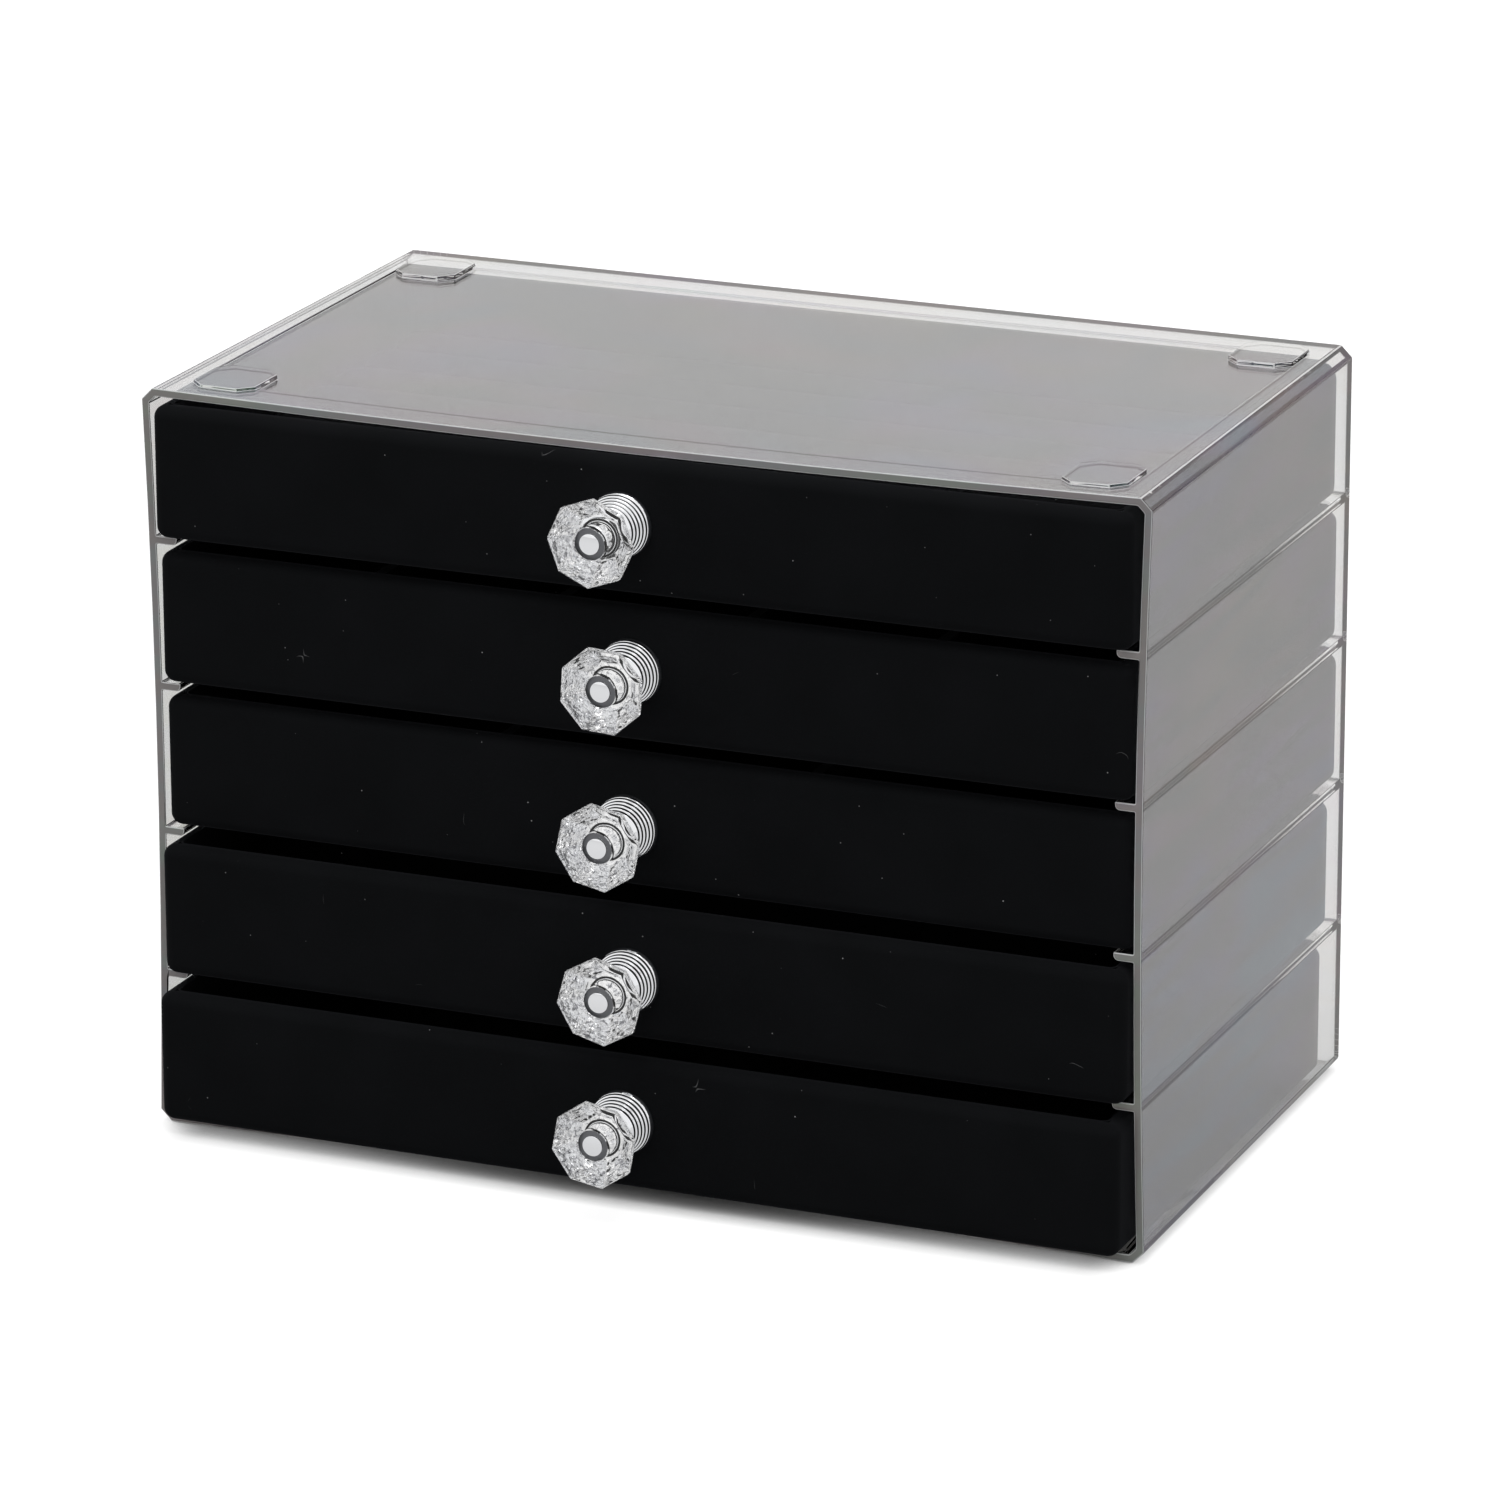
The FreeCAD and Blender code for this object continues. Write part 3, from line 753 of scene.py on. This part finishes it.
def make_head(number):
    """One knob's clear head with its glittering back."""
    node = "drawer_%d_knob_crystal" % number
    mesh = rounded_copy(node, HEAD_EDGE_RADIUS, math.radians(25), math.radians(2))
    low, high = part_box("drawer_%d_knob_base" % number)
    axis = Vector(((low[0] + high[0]) / 2, 0, (low[2] + high[2]) / 2))
    mesh.materials.clear()
    mesh.materials.append(clear_acrylic)
    mesh.materials.append(glittering_acrylic)
    for polygon in mesh.polygons:
        outward = Vector(polygon.center) - axis
        outward.y = 0
        faces_outward = polygon.normal.dot(outward) > 0
        polygon.material_index = int(faces_outward and polygon.normal.y > 0.2)
    return add_piece("drawer_%d_knob_head" % number, mesh, None, "drawer_%d" % number, [node])


def make_base(number):
    """One knob's plated base, with rounded ridges and painted shade on the ring behind its tip."""
    node = "drawer_%d_knob_base" % number
    mesh = rounded_copy(node, BASE_EDGE_RADIUS, math.radians(25), math.radians(2))
    low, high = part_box(node)
    axis = Vector(((low[0] + high[0]) / 2, 0, (low[2] + high[2]) / 2))
    mesh.materials.clear()
    mesh.materials.append(chrome_plate)
    mesh.materials.append(painted_bore_shade)
    for polygon in mesh.polygons:
        outward = Vector(polygon.center) - axis
        behind_tip = outward.y - low[1]
        outward.y = 0
        on_shoulder = outward.length < SHOULDER_RADIUS and 0.3 * MM < behind_tip < SHOULDER_REACH
        # The shoulder's forward faces get painted shade: the darker metal instead of chrome.
        polygon.material_index = int(on_shoulder and polygon.normal.y < -0.5)
    return add_piece("drawer_%d_knob_plated_base" % number, mesh, None,
                     "drawer_%d" % number, [node])


for number in DRAWERS:
    head = make_head(number)
    base = make_base(number)
print("each head has", len(head.data.polygons), "faces, each base", len(base.data.polygons))

# %% [markdown]
# The top drawer holds rings between seven soft rolls: foam in a velvet sleeve. Cloth simulation
# with a little air pressure makes one roll swell as stuffed velvet does. The pleats where the
# sleeve is gathered at its ends come after it, because the remesh would erase them. The roll is
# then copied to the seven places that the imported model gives.

# %% Ring rolls
ROLL_VOXEL = 2.4 * MM
ROLL_SHRINK = 0.93
ROLL_PRESSURE = 4.0
ROLL_MOST_SWELL = 1.2 * MM
ROLL_END = 6 * MM
ROLL_PLEATS = 14
ROLL_FRAMES = 20


def loose_boxes(node):
    """The lowest and highest corner of each separate part of a node, from front to back."""
    shape = bmesh.new()
    shape.from_mesh(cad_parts[node].data)
    bmesh.ops.remove_doubles(shape, verts=shape.verts, dist=0.001 * MM)
    waiting = set(shape.verts)
    boxes = []
    while waiting:
        found = {waiting.pop()}
        edge_of_search = list(found)
        while edge_of_search:
            point = edge_of_search.pop()
            for edge in point.link_edges:
                other = edge.other_vert(point)
                if other in waiting:
                    waiting.discard(other)
                    found.add(other)
                    edge_of_search.append(other)
        places = [point.co for point in found]
        low = Vector([min(place[axis] for place in places) for axis in range(3)])
        high = Vector([max(place[axis] for place in places) for axis in range(3)])
        boxes.append((low, high))
    shape.free()
    return sorted(boxes, key=lambda pair: pair[0].y)


def plain_roll(size):
    """A round bar along x with rounded ends, centred on the origin, slightly too small."""
    shape = bmesh.new()
    bmesh.ops.create_cone(
        shape, cap_ends=True, segments=32, radius1=1, radius2=1, depth=2,
        matrix=Matrix.Rotation(math.radians(90), 4, "Y"),
    )
    for point in shape.verts:
        point.co.x *= size.x / 2 - 0.5 * MM
        point.co.y *= size.y / 2 * ROLL_SHRINK
        point.co.z *= size.z / 2 * ROLL_SHRINK
    rims = [edge for edge in shape.edges if edge.calc_face_angle(0) > math.radians(60)]
    bmesh.ops.bevel(shape, geom=rims, offset=3 * MM, segments=4, profile=0.5, affect="EDGES")
    mesh = bpy.data.meshes.new("ring_roll")
    shape.to_mesh(mesh)
    shape.free()
    return mesh


def swell(roll):
    """Run the cloth simulation on a roll and keep its last shape, with the movement capped."""
    remesh = roll.modifiers.new("remesh", "REMESH")
    remesh.mode = "VOXEL"
    remesh.voxel_size = ROLL_VOXEL
    bpy.context.view_layer.objects.active = roll
    roll.select_set(True)
    bpy.ops.object.modifier_apply(modifier=remesh.name)
    before = [point.co.copy() for point in roll.data.vertices]
    cloth = roll.modifiers.new("cloth", "CLOTH")
    cloth.settings.use_pressure = True
    cloth.settings.uniform_pressure_force = ROLL_PRESSURE
    cloth.settings.effector_weights.gravity = 0
    for number in range(1, ROLL_FRAMES + 1):
        scene.frame_set(number)
    bpy.ops.object.modifier_apply(modifier=cloth.name)
    scene.frame_set(1)
    for point, start in zip(roll.data.vertices, before):
        move = point.co - start
        if move.length > ROLL_MOST_SWELL:
            point.co = start + move.normalized() * ROLL_MOST_SWELL


def gather_ends(mesh, size):
    """Pleat the ends and keep the roll inside its room, which presses its underside flat."""
    half = size / 2
    for point in mesh.vertices:
        place = point.co
        near_end = max(0.0, 1 - (half.x - abs(place.x)) / ROLL_END)
        angle = math.atan2(place.z, place.y)
        pleat = 1 - 0.05 * near_end * (1 + math.cos(ROLL_PLEATS * angle))
        place.y = max(-half.y, min(half.y, place.y * pleat))
        place.z = max(-half.z, min(half.z, place.z * pleat))
        place.x = max(-half.x, min(half.x, place.x))


def make_ring_rolls():
    """Seven stuffed rolls as one soft piece."""
    node = "drawer_1_ring_rolls"
    boxes = loose_boxes(node)
    size = boxes[0][1] - boxes[0][0]
    roll = bpy.data.objects.new("ring_roll", plain_roll(size))
    scene.collection.objects.link(roll)
    swell(roll)
    gather_ends(roll.data, size)
    row = bmesh.new()
    for low, high in boxes:
        known = len(row.verts)
        row.from_mesh(roll.data)
        row.verts.ensure_lookup_table()
        bmesh.ops.translate(row, verts=row.verts[known:], vec=(low + high) / 2)
    mesh = bpy.data.meshes.new("ring_rolls")
    row.to_mesh(mesh)
    row.free()
    bpy.data.objects.remove(roll)
    for polygon in mesh.polygons:
        polygon.use_smooth = True
    rolls = add_piece("drawer_1_soft_ring_rolls", mesh, velvet, "drawer_1", [node])
    rolls.modifiers.new("smooth", "SUBSURF").render_levels = 1
    return rolls


rolls = make_ring_rolls()
print("ring rolls have", len(rolls.data.polygons), "faces")


# %% [markdown]
# The trays under the velvet are pressed fibreboard. They hardly show, but a drawer's hem leaves
# the middle of the underside bare, so the board gets its brown fibres too.

# %% Fibreboard and the remaining nodes
def make_fibreboard():
    """Brown pressed board with short darker fibres."""
    material, tree, output = start_material("pressed_fibreboard")
    place = add_node(tree, "ShaderNodeTexCoord").outputs["Object"]
    fibre = add_node(tree, "ShaderNodeTexNoise", inputs={
        "Scale": 1 / (1.2 * MM), "Detail": 6.0, "Distortion": 1.5,
    }, links={"Vector": place})
    colour = add_node(tree, "ShaderNodeValToRGB", links={"Fac": fibre.outputs["Fac"]})
    colour.color_ramp.elements[0].color = linear("#5E4630")
    colour.color_ramp.elements[1].color = linear("#93744F")
    bump = add_node(tree, "ShaderNodeBump", inputs={
        "Strength": 0.3, "Distance": 0.1 * MM,
    }, links={"Height": fibre.outputs["Fac"]})
    board = add_node(tree, "ShaderNodeBsdfPrincipled", inputs={"Roughness": 0.85, "IOR": 1.5}, links={
        "Base Color": colour.outputs["Color"], "Normal": bump.outputs["Normal"],
    })
    tree.links.new(board.outputs[0], output.inputs["Surface"])
    return material


def dress_node(node, material):
    """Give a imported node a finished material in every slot."""
    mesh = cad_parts[node].data
    if not mesh.materials:
        mesh.materials.append(material)
    for place in range(len(mesh.materials)):
        mesh.materials[place] = material


fibreboard = make_fibreboard()
FINISH_BY_WORD = {
    "tray": fibreboard, "screw": zinc_plate, "washer": zinc_plate, "dividers": velvet,
}
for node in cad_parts:
    for word, material in FINISH_BY_WORD.items():
        if word in node:
            dress_node(node, material)
print("dressed", len(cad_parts), "nodes")
